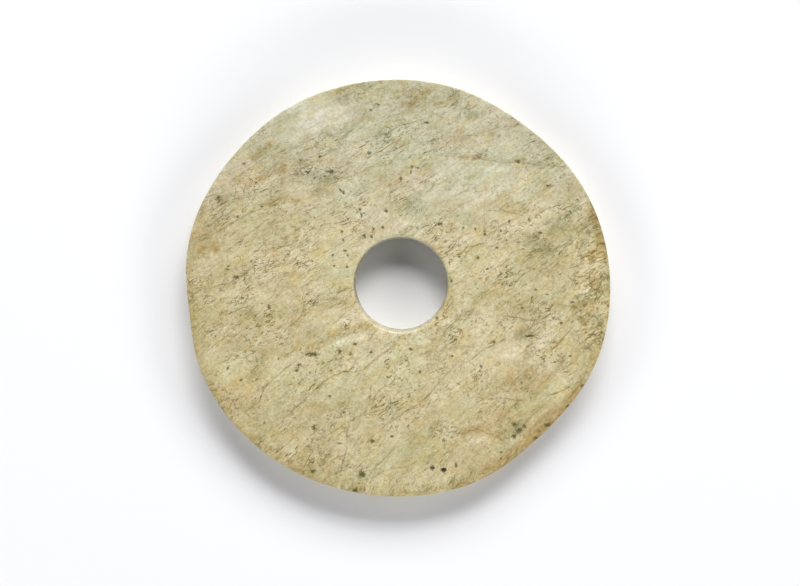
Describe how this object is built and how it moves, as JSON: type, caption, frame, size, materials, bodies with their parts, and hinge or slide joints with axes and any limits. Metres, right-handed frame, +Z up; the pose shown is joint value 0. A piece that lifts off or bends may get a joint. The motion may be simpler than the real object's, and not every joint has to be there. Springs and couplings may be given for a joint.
{
  "type": "jade bi disc",
  "caption": "Flat round disc of carved nephrite with a central hole drilled from both faces, a ritual ring that lies on its face.",
  "frame": {"origin": "the middle of the disc's box, on the surface that its flat underside lies on", "axes": "+Z up out of the upper face, +X to the right and +Y to the top of the face as the picture shows it"},
  "size_m": [0.2, 0.1966, 0.013],
  "materials": {
    "jade": "satin"
  },
  "bodies": {
    "root": {"jade_disc": "jade"}
  },
  "joints": []
}
